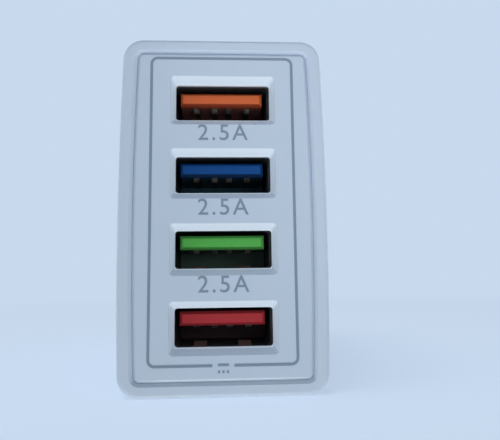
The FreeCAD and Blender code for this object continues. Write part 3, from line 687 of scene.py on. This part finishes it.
@dataclass(frozen=True)
class SinteredFerrite(Finish):
    """Sintered ferrite: dull dark grey with a sandy grain and lighter rubbed flecks."""

    colour: Colour
    fleck: Colour
    roughness: float = 0.55
    metallic: float = 0.2
    spread: float = 0.2
    sand_size: float = 0.18 * MM
    sand_depth: float = 0.02 * MM
    sand_share: float = 0.5
    sand_roughness: float = 0.25
    cloud_size: float = 3.0 * MM
    fleck_spacing: float = 0.9 * MM
    fleck_radius: float = 0.12 * MM
    fleck_share: float = 0.4
    fleck_strength: float = 0.6

    def material(self) -> bpy.types.Material:
        """Make the ferrite.

        Returns:
            Its material.
        """
        surface = Surface(self.name)
        sand = surface.noise(self.sand_size, Detail.FINEST)
        clouds = surface.noise(self.cloud_size)
        flecks = surface.specks(self.fleck_spacing, self.fleck_radius, self.fleck_share)
        sandy = self.sand_share * sand + (1.0 - self.sand_share) * clouds
        plain = surface.varied(sandy, self.colour, self.spread)
        return surface.close(
            Base_Color=surface.mix(self.fleck_strength * flecks, plain, self.fleck.shade()),
            Roughness=self.roughness + self.sand_roughness * sand,
            Normal=surface.relief(sand, self.sand_depth),
            Metallic=self.metallic,
        )


@dataclass(frozen=True)
class InsulatorColours:
    """Colours of a port's insulator: its tongue, and the painted shade on the tongue's lower edge and deep
    inside the port.
    """

    tongue: Colour
    edge: Colour
    block: Colour


class Port(Enum):
    """The ports from the top down, each with the colours of its insulator."""

    # Each port: the tongue's colour, then painted shade for its lower edge and for deep in the port.
    ORANGE = InsulatorColours(Colour(198, 97, 54), Colour(138, 57, 36), Colour(144, 96, 92))
    BLUE = InsulatorColours(Colour(12, 69, 134), Colour(14, 40, 74), Colour(48, 84, 98))
    GREEN = InsulatorColours(Colour(84, 172, 82), Colour(64, 130, 62), Colour(82, 106, 95))
    RED = InsulatorColours(Colour(167, 52, 59), Colour(140, 42, 48), Colour(70, 50, 54))


WHITE_PLASTIC = Colour(170, 187, 208)
PANEL_PLASTIC = Colour(167, 185, 206)
# Painted shade on the housing's rounding that faces up along its front rim.
RIM_SHADE = Colour(154, 170, 190)
# Painted light on the bevels round the windows.
BEVEL_LIGHT = Colour(192, 208, 225)
# Painted highlight along the windows' inner lips.
LIP_HIGHLIGHT = Colour(204, 219, 236)
# Painted shade on the windows' inner walls.
WALL_SHADE = Colour(70, 75, 82)
INK_GREY = Colour(108, 127, 147)


class Workbench:
    """Blender's operators on one object at a time."""

    @staticmethod
    def clear() -> None:
        """Leave edit mode and deselect everything."""
        if bpy.context.object and bpy.context.object.mode != "OBJECT":
            bpy.ops.object.mode_set(mode="OBJECT")
        bpy.ops.object.select_all(action="DESELECT")

    @staticmethod
    def take(piece: bpy.types.Object) -> None:
        """Select one object alone and make it active.

        Args:
            piece: the object.
        """
        Workbench.clear()
        piece.select_set(True)
        bpy.context.view_layer.objects.active = piece

    @staticmethod
    def select_faces(piece: bpy.types.Object, low: Vector, high: Vector) -> None:
        """Select the faces of a piece in edit mode whose middles lie in a box.

        Args:
            piece: the piece in edit mode.
            low: lowest corner of the box.
            high: highest corner of the box.
        """
        mesh = bmesh.from_edit_mesh(piece.data)
        for face in mesh.faces:
            middle = piece.matrix_world @ face.calc_center_median()
            face.select_set(all(low[i] <= middle[i] <= high[i] for i in range(3)))
        bmesh.update_edit_mesh(piece.data)

    @staticmethod
    def thicken(piece: bpy.types.Object, thickness: float) -> None:
        """Give a flat piece a thickness towards its front and apply it.

        Args:
            piece: the flat piece.
            thickness: its thickness in metres.
        """
        Workbench.take(piece)
        solid = piece.modifiers.new("thickness", "SOLIDIFY")
        solid.thickness = thickness
        solid.offset = 1.0
        bpy.ops.object.modifier_apply(modifier=solid.name)

    @staticmethod
    def settle(piece: bpy.types.Object, name: str) -> None:
        """Put a piece's place into its mesh and name it.

        Args:
            piece: the piece.
            name: its name.
        """
        Workbench.take(piece)
        bpy.ops.object.transform_apply(location=True, rotation=True, scale=True)
        piece.name = name
        piece.data.name = name


def dress(names: Iterable[str], finish: Finish) -> None:
    """Give CAD nodes a finish.

    Args:
        names: the nodes.
        finish: what they are made of.
    """
    material = finish.material()
    for name in names:
        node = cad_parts[name]
        if not node.material_slots:
            node.data.materials.append(material)
        for slot in node.material_slots:
            slot.material = material
        LOG.info("%s dressed in %s", name, material.name)


def attach(piece: bpy.types.Object, material: bpy.types.Material) -> None:
    """Fix a new piece to the charger.

    Args:
        piece: the piece.
        material: its material.
    """
    piece.data.materials.clear()
    piece.data.materials.append(material)
    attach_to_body(piece, BODY)
    LOG.info("%s made, %d faces", piece.name, len(piece.data.polygons))


@dataclass
class PrintedMarks:
    """Grey print on the face panel: a frame line, the ports' ratings and a direct-current sign."""

    ink: float = 0.02 * MM
    line_width: float = 0.37 * MM
    corner_radius: float = 1.0 * MM
    corner_segments: int = 8
    frame_width: float = 19.2 * MM
    frame_height: float = 40.8 * MM
    frame_across: float = -0.08 * MM
    frame_up: float = 0.61 * MM
    frame_gap: float = 2.75 * MM
    rating: str = "2.5A"
    rating_count: int = 3
    rating_height: float = 3.05 * MM
    rating_weight: float = 0.015 * MM
    rating_spacing: float = 1.2
    rating_across: float = -0.05 * MM
    rating_drop: float = 4.6 * MM
    port_pitch: float = 10.0 * MM
    sign_width: float = 1.4 * MM
    sign_bar: float = 0.34 * MM
    sign_gap: float = 0.5 * MM
    sign_drop: float = 19.95 * MM
    sign_dashes: int = 3

    def __post_init__(self) -> None:
        """Find the panel's face and its middle, and make the ink."""
        low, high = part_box("port_panel")
        self.face = low[1]
        self.middle = 0.5 * (Vector(low) + Vector(high))
        self.material = PrintInk("print_ink", INK_GREY, PANEL_PLASTIC).material()

    def build(self) -> None:
        """Make every printed mark."""
        self.frame_line()
        self.ratings()
        self.current_sign()

    def plate(self, across: float, up: float, width: float, height: float) -> bpy.types.Object:
        """Start a mark as a flat plate on the panel's face.

        Args:
            across: its middle from the panel's middle.
            up: its middle above the panel's middle.
            width: its width.
            height: its height.

        Returns:
            The plate in edit mode, facing the front.
        """
        Workbench.clear()
        place = (self.middle.x + across, self.face, self.middle.z + up)
        bpy.ops.mesh.primitive_plane_add(size=1.0, location=place, rotation=UPRIGHT)
        plate = bpy.context.active_object
        plate.scale = (width, height, 1.0)
        bpy.ops.object.transform_apply(location=True, rotation=True, scale=True)
        bpy.ops.object.mode_set(mode="EDIT")
        bpy.ops.mesh.select_all(action="SELECT")
        return plate

    def split(self, across: float, up: float, normal: Triple) -> None:
        """Split the flat mark in edit mode along a line.

        Args:
            across: where the line is, from side to side.
            up: where it is, from the floor up.
            normal: direction from one side of the line to the other.
        """
        bpy.ops.mesh.select_all(action="SELECT")
        bpy.ops.mesh.bisect(plane_co=(across, self.face, up), plane_no=normal)

    def cut_out(self, mark: bpy.types.Object, across: Span, up: Span) -> None:
        """Delete the faces of a flat mark whose middles lie in a rectangle.

        Args:
            mark: the mark in edit mode.
            across: left and right side of the rectangle.
            up: bottom and top of the rectangle.
        """
        low = Vector((across[0], self.face - MM, up[0]))
        high = Vector((across[1], self.face + MM, up[1]))
        Workbench.select_faces(mark, low, high)
        bpy.ops.mesh.delete(type="FACE")

    def print_flat(self, mark: bpy.types.Object, name: str) -> None:
        """Give a flat mark the thickness of the ink and fix it to the panel.

        Args:
            mark: the mark in edit mode.
            name: its name.
        """
        bpy.ops.object.mode_set(mode="OBJECT")
        Workbench.thicken(mark, self.ink)
        Workbench.settle(mark, name)
        attach(mark, self.material)

    def frame_line(self) -> None:
        """Thin rounded frame round the ports, open at the bottom for the sign."""
        mark = self.plate(self.frame_across, self.frame_up, self.frame_width, self.frame_height)
        bpy.ops.mesh.bevel(offset=self.corner_radius, segments=self.corner_segments, affect="VERTICES")
        bpy.ops.mesh.select_all(action="SELECT")
        bpy.ops.mesh.inset(thickness=self.line_width)
        bpy.ops.mesh.delete(type="FACE")
        middle = self.middle.x + self.frame_across
        gap = (middle - 0.5 * self.frame_gap, middle + 0.5 * self.frame_gap)
        for side in gap:
            self.split(side, self.middle.z, (1.0, 0.0, 0.0))
        self.cut_out(mark, gap, (0.0, self.middle.z))
        self.print_flat(mark, "printed_frame")

    def ratings(self) -> None:
        """The same current rating under each of the upper ports."""
        Workbench.clear()
        top_port = self.middle.z + 0.5 * (len(Port) - 1) * self.port_pitch
        across = self.middle.x + self.rating_across
        place = (across, self.face - 0.5 * self.ink, top_port - self.rating_drop)
        bpy.ops.object.text_add(location=place, rotation=UPRIGHT)
        text = bpy.context.active_object
        text.data.body = self.rating
        text.data.size = self.rating_height
        text.data.space_character = self.rating_spacing
        text.data.align_x = "CENTER"
        text.data.align_y = "CENTER"
        text.data.extrude = 0.5 * self.ink
        text.data.offset = self.rating_weight
        bpy.ops.object.convert(target="MESH")
        marks = [bpy.context.active_object]
        Workbench.settle(marks[0], "port_rating_1")
        for number in range(2, self.rating_count + 1):
            Workbench.take(marks[-1])
            bpy.ops.object.duplicate(linked=False)
            marks.append(bpy.context.active_object)
            bpy.ops.transform.translate(value=(0.0, 0.0, -self.port_pitch))
            Workbench.settle(marks[-1], f"port_rating_{number}")
        for mark in marks:
            attach(mark, self.material)

    def current_sign(self) -> None:
        """Direct-current sign in the frame's gap: one bar over a row of dashes."""
        height = 2.0 * self.sign_bar + self.sign_gap
        mark = self.plate(self.frame_across, -self.sign_drop, self.sign_width, height)
        columns = 2 * self.sign_dashes - 1
        left = self.middle.x + self.frame_across - 0.5 * self.sign_width
        sides = [left + self.sign_width * number / columns for number in range(columns + 1)]
        level = self.middle.z - self.sign_drop
        between = (level - 0.5 * self.sign_gap, level + 0.5 * self.sign_gap)
        for side in sides[1:-1]:
            self.split(side, level, (1.0, 0.0, 0.0))
        for edge in between:
            self.split(left, edge, (0.0, 0.0, 1.0))
        self.cut_out(mark, (sides[0], sides[-1]), between)
        for number in range(1, columns, 2):
            self.cut_out(mark, (sides[number], sides[number + 1]), (level - height, level))
        self.print_flat(mark, "current_sign")


@dataclass
class Casing:
    """Pale plastic outside: sleeve, face panel and back cover."""

    speck_share: float = 0.5
    rim_shade_start: float = 0.6 * MM
    rim_shade_end: float = 1.0 * MM
    bevel_light_start: float = 0.02 * MM
    bevel_light_end: float = 0.12 * MM
    lip_highlight_start: float = 0.85 * MM
    lip_highlight_end: float = 0.98 * MM
    wall_shade_start: float = 1.38 * MM
    wall_shade_end: float = 1.55 * MM
    window_inner: float = 7.4 * MM
    window_outer: float = 11.0 * MM

    def dress(self) -> None:
        """Finish the outside."""
        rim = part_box("main_housing")[0][1]
        # Painted shade on the rounding that faces up along the housing's front rim.
        rim_shade = RimShadeTone(RIM_SHADE, rim, self.rim_shade_start, self.rim_shade_end)
        sleeve = MouldedPlastic(
            "housing_plastic", WHITE_PLASTIC, speck_share=self.speck_share, tones=(rim_shade,)
        )
        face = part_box("port_panel")[0][1]
        window = (self.window_inner, self.window_outer)
        panel = MouldedPlastic(
            "panel_plastic",
            PANEL_PLASTIC,
            roughness=0.4,
            speck_share=self.speck_share,
            tones=(
                # Painted light on the window bevels.
                BevelLightTone(BEVEL_LIGHT, face, self.bevel_light_start, self.bevel_light_end, *window),
                # Painted highlight along the windows' lips.
                WindowTone(LIP_HIGHLIGHT, face, self.lip_highlight_start, self.lip_highlight_end, *window),
                # Painted shade on the windows' inner walls.
                WindowTone(WALL_SHADE, face, self.wall_shade_start, self.wall_shade_end, *window),
            ),
        )
        dress(("main_housing", "rear_cover"), sleeve)
        dress(("port_panel",), panel)


@dataclass
class PortRow:
    """Four sockets: shells darkened with painted shade, coloured tongues and pale contact springs."""

    # The shells' dark colours are painted shade inside the ports; the front bevels get a paler colour.
    shell: Colour = Colour(58, 58, 60)
    shell_tarnish: Colour = Colour(34, 34, 36)
    shell_front_bevel: Colour = Colour(104, 80, 76)
    contact: Colour = Colour(154, 150, 144)
    contact_tarnish: Colour = Colour(92, 88, 82)
    # Painted shade on the contacts deep in the ports.
    contact_shade: Colour = Colour(40, 38, 36)
    contact_start: float = 0.3 * MM
    contact_end: float = 1.2 * MM
    edge_start: float = -0.1 * MM
    edge_end: float = 0.15 * MM
    deep_start: float = 0.4 * MM
    deep_end: float = 1.7 * MM

    def dress(self) -> None:
        """Finish the sockets."""
        numbers = range(1, len(Port) + 1)
        dress([f"socket_shell_{number}" for number in numbers], self.shell_finish())
        dress([f"socket_contacts_{number}" for number in numbers], self.contact_finish())
        for number, port in enumerate(Port, 1):
            name = f"socket_tongue_{number}"
            dress((name,), self.tongue_finish(port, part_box(name)[0][1]))

    def shell_finish(self) -> Finish:
        """Make the shells' finish.

        Returns:
            Metal darkened with painted shade, paler on the bevels that face the front.
        """
        return PlatedMetal(
            "shell_metal",
            self.shell,
            self.shell_tarnish,
            roughness=0.5,
            metallic=0.6,
            # Paler colour on the shells' bevels that face the front.
            tones=(SlopeTone(self.shell_front_bevel, FRONT_BEVEL),),
        )

    def contact_finish(self) -> Finish:
        """Make the contact springs' finish.

        Returns:
            Pale stained metal with painted shade that darkens it with depth.
        """
        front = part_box("socket_contacts_1")[0][1]
        return PlatedMetal(
            "contact_metal",
            self.contact,
            self.contact_tarnish,
            roughness=0.4,
            metallic=0.3,
            stain_edges=(0.42, 0.58),
            # Painted shade deeper in the port.
            tones=(DepthTone(self.contact_shade, front, self.contact_start, self.contact_end),),
        )

    def tongue_finish(self, port: Port, front: float) -> Finish:
        """Make the finish of one port's insulator.

        Args:
            port: the port.
            front: where the insulator's front is.

        Returns:
            Coloured plastic with painted shade on the tongue's lower edge and deep in the port.
        """
        return MouldedPlastic(
            f"tongue_{port.name.lower()}",
            port.value.tongue,
            roughness=0.45,
            gloss=0.15,
            mottling=0.08,
            tones=(
                # Painted shade on the tongue's lower edge and deep in the port.
                LowerEdgeShadeTone(port.value.edge, front, self.edge_start, self.edge_end),
                DepthTone(port.value.block, front, self.deep_start, self.deep_end),
            ),
        )


@dataclass
class MainsPlug:
    """Two plated pins with pale sleeves, and the strips behind them."""

    plating: Colour = Colour(214, 212, 206)
    plating_tarnish: Colour = Colour(198, 195, 188)
    turned_lines: Triple = (0.1, 1.0, 0.1)
    strip: Colour = Colour(214, 176, 104)
    strip_tarnish: Colour = Colour(150, 112, 62)

    def dress(self) -> None:
        """Finish the plug."""
        pins = PlatedMetal(
            "pin_metal", self.plating, self.plating_tarnish, roughness=0.22, line_stretch=self.turned_lines
        )
        strips = PlatedMetal("strip_metal", self.strip, self.strip_tarnish, roughness=0.35)
        sleeves = MouldedPlastic("sleeve_plastic", WHITE_PLASTIC, roughness=0.38, grain_size=0.3 * MM)
        for piece, finish in (("mains_pin", pins), ("mains_strip", strips), ("pin_sleeve", sleeves)):
            dress((f"{piece}_upper", f"{piece}_lower"), finish)


@dataclass
class PowerBoard:
    """Circuit board and the power parts on it, hidden in the sleeve."""

    mask: Colour = Colour(26, 84, 48)
    track: Colour = Colour(40, 112, 62)
    tin: Colour = Colour(196, 196, 192)
    core: Colour = Colour(52, 52, 54)
    core_fleck: Colour = Colour(112, 112, 114)
    bobbin: Colour = Colour(40, 40, 42)
    tape: Colour = Colour(232, 190, 60)
    tape_joint: Colour = Colour(176, 128, 30)
    tape_pitch: float = 1.6 * MM
    can: Colour = Colour(52, 58, 78)
    can_tarnish: Colour = Colour(38, 42, 58)
    fuse: Colour = Colour(122, 74, 44)
    wire: Colour = Colour(196, 112, 62)
    wire_joint: Colour = Colour(92, 44, 22)
    wire_pitch: float = 0.35 * MM
    disc: Colour = Colour(52, 98, 176)
    package: Colour = Colour(36, 36, 38)

    def dress(self) -> None:
        """Finish the board and its parts."""
        dress(("main_board",), CoatedBoard("board_laminate", self.mask, self.track, self.tin))
        self.dress_transformer()
        self.dress_mains_parts()
        self.dress_packages()

    def dress_transformer(self) -> None:
        """Finish the transformer: ferrite core, black bobbin and taped winding."""
        tape = WoundLayers("winding_tape", self.tape, self.tape_joint, self.tape_pitch, Axis.DEPTH)
        dress(("transformer_core",), SinteredFerrite("ferrite", self.core, self.core_fleck))
        dress(("transformer_bobbin",), MouldedPlastic("bobbin_plastic", self.bobbin))
        dress(("transformer_winding",), tape)

    def dress_mains_parts(self) -> None:
        """Finish the capacitors, the fuse, the choke and the coated disc."""
        cans = PlatedMetal("capacitor_can", self.can, self.can_tarnish, metallic=0.3)
        wire = WoundLayers(
            "choke_winding",
            self.wire,
            self.wire_joint,
            self.wire_pitch,
            Axis.ACROSS,
            roughness=0.3,
            metallic=0.7,
        )
        disc = MouldedPlastic(
            "disc_coating",
            self.disc,
            roughness=0.3,
            coat=0.6,
            grain_size=0.5 * MM,
            grain_depth=0.02 * MM,
            mottling=0.08,
        )
        dress([f"{side}_capacitor_{number}" for side in ("mains", "output") for number in (1, 2)], cans)
        dress(("fuse",), MouldedPlastic("fuse_body", self.fuse, mottling=0.1))
        dress(("input_choke",), wire)
        dress(("safety_capacitor",), disc)

    def dress_packages(self) -> None:
        """Finish the black moulded parts."""
        package = MouldedPlastic(
            "package_plastic",
            self.package,
            roughness=0.55,
            grain_size=0.12 * MM,
            grain_depth=0.012 * MM,
            mottling=0.12,
        )
        dress(("bridge_rectifier", "switching_controller", "optical_coupler", "output_rectifier"), package)


class Reach(Enum):
    """What a lamp lights: all but the floor, or the floor alone."""

    CHARGER = "EXCLUDE"
    FLOOR = "INCLUDE"


@dataclass(frozen=True)
class SoftLamp:
    """Square lamp towards the middle of the charger's face; at level one it shows a white face as white."""

    name: str
    direction: Triple
    distance: float
    size: float
    level: float
    tint: Triple = EVEN
    mirrored: bool = False
    reach: Reach = Reach.CHARGER

    def place(self, target: Vector) -> None:
        """Hang the lamp.

        Args:
            target: the point that it faces.
        """
        lamp = bpy.data.lights.new(self.name, "AREA")
        lamp.shape = "SQUARE"
        lamp.size = self.size
        lamp.color = self.tint
        lamp.energy = self.level * (math.pi * self.distance) ** 2
        holder = bpy.data.objects.new(self.name, lamp)
        away = Vector(self.direction).normalized()
        turn = away.to_track_quat("Z", "Y").to_matrix().to_4x4()
        holder.matrix_world = Matrix.Translation(target + self.distance * away) @ turn
        holder.visible_camera = False
        holder.visible_glossy = self.mirrored
        bpy.context.scene.collection.objects.link(holder)
        reach = bpy.data.collections.new(f"{self.name}_reach")
        reach.objects.link(bpy.data.objects[FLOOR])
        reach.collection_objects[0].light_linking.link_state = self.reach.value
        holder.light_linking.receiver_collection = reach


@dataclass
class Studio:
    """Plain pale floor and backdrop, soft lamps all round, and the photograph's camera.

    The floor glows with part of its colour and takes the rest from its own lamp, for the soft shadow. The two
    lamps close to the face brighten its upper right, and the mirrored lamps show in the pins.
    """

    backdrop: Colour = Colour(200, 217, 237)
    floor_size: float = 4.0
    floor_glow: float = 0.58
    world_light: float = 0.3
    floor_light: float = 0.68
    floor_fade: Span = (0.12, 0.35)
    lamps: tuple[SoftLamp, ...] = (
        SoftLamp("lower_lamp", (0.0, -0.42, -0.91), distance=0.2, size=0.16, level=0.86, tint=WARM),
        SoftLamp("left_lamp", (-0.9, -0.35, 0.1), distance=0.7, size=0.5, level=0.28),
        SoftLamp("floor_lamp", (-0.25, -0.3, 0.92), distance=1.8, size=1.5, level=0.5, reach=Reach.FLOOR),
        SoftLamp("right_lamp", (0.51, -0.85, 0.11), distance=0.0587, size=0.03, level=0.24),
        SoftLamp("top_lamp", (0.08, -0.72, 0.69), distance=0.057, size=0.03, level=0.23),
        SoftLamp("back_lamp", (0.2, 0.97, 0.12), distance=0.8, size=1.0, level=0.25, mirrored=True),
        SoftLamp("right_side_lamp", (0.9, 0.4, 0.2), distance=0.8, size=1.0, level=0.6, mirrored=True),
        SoftLamp("left_side_lamp", (-0.85, 0.5, 0.2), distance=0.8, size=1.0, level=0.5, mirrored=True),
        SoftLamp("over_lamp", (0.0, 0.7, 0.71), distance=0.8, size=1.0, level=0.45, mirrored=True),
    )
    lens: float = 34.65
    sensor: float = 36.0
    eye_across: float = 0.243 * MM
    eye_distance: float = 62.14 * MM
    eye_drop: float = 9.06 * MM
    eye_turn: Triple = (0.125, 0.009, -0.051)

    def build(self) -> None:
        """Make the floor, the light and the camera."""
        self.world()
        self.floor()
        low, high = CAD_BOX
        face = Vector((0.5 * (low[0] + high[0]), low[1], 0.5 * (low[2] + high[2])))
        for lamp in self.lamps:
            lamp.place(face)
        self.camera()
        bpy.context.scene.view_settings.view_transform = "Standard"

    def world(self) -> None:
        """Even light from all sides, with the pale backdrop where it is seen."""
        world = bpy.data.worlds.new("studio")
        world.use_nodes = True
        bpy.context.scene.world = world
        graph = Graph(world.node_tree)
        light = graph.node("ShaderNodeBackground", None, {0: (*EVEN, 1.0), 1: self.world_light})
        shown = graph.node("ShaderNodeBackground", None, {0: self.backdrop.shade(), 1: 1.0})
        mixed = graph.mix_shaders(graph.seen_directly(), light, shown)
        graph.node("ShaderNodeOutputWorld", None, {0: mixed.outputs[0]})

    def floor(self) -> None:
        """Pale floor that takes the charger's soft shadow, lets the lower light through and fades away."""
        Workbench.clear()
        bpy.ops.mesh.primitive_plane_add(size=self.floor_size, location=(0.0, 0.0, 0.0))
        floor = bpy.context.active_object
        floor.name = FLOOR
        surface = Surface("floor_paper")
        glow = surface.node("ShaderNodeEmission", None, {0: self.backdrop.shade(self.floor_glow), 1: 1.0})
        lit = (1.0 - self.floor_glow) / self.floor_light
        paper = surface.node("ShaderNodeBsdfDiffuse", None, {0: self.backdrop.shade(lit)})
        both = surface.node("ShaderNodeAddShader", None, {0: glow.outputs[0], 1: paper.outputs[0]})
        plain = surface.node("ShaderNodeEmission", None, {0: self.backdrop.shade(), 1: 1.0})
        across, depth = surface.along(Axis.ACROSS), surface.along(Axis.DEPTH)
        near, far = self.floor_fade
        away = (across * across + depth * depth).ramp(near ** 2, far ** 2)
        faded = surface.mix_shaders(away, both, plain)
        surface.node("ShaderNodeOutputMaterial", None, {0: faded.outputs[0]})
        floor.data.materials.append(surface.material)
        floor.visible_diffuse = False
        floor.visible_shadow = False

    def camera(self) -> None:
        """Camera close in front of the ports, a little below their middle."""
        low, high = CAD_BOX
        lens = bpy.data.cameras.new("camera")
        lens.lens = self.lens
        lens.sensor_width = self.sensor
        lens.sensor_fit = "HORIZONTAL"
        lens.clip_start = MM
        camera = bpy.data.objects.new("camera", lens)
        bpy.context.scene.collection.objects.link(camera)
        eye = Vector((self.eye_across, low.y - self.eye_distance, 0.5 * (low.z + high.z) - self.eye_drop))
        turn = Vector(self.eye_turn)
        level = Matrix.Rotation(math.pi / 2, 4, "X")
        aim = Quaternion(turn.normalized(), turn.length).to_matrix().to_4x4()
        camera.matrix_world = Matrix.Translation(eye) @ aim @ level
        bpy.context.scene.camera = camera


def main() -> None:
    """Build and dress the charger in order."""
    logging.basicConfig(level=logging.INFO, format="%(name)s: %(message)s")
    Casing().dress()
    PrintedMarks().build()
    PortRow().dress()
    MainsPlug().dress()
    PowerBoard().dress()
    Studio().build()


if __name__ == "__main__":
    main()
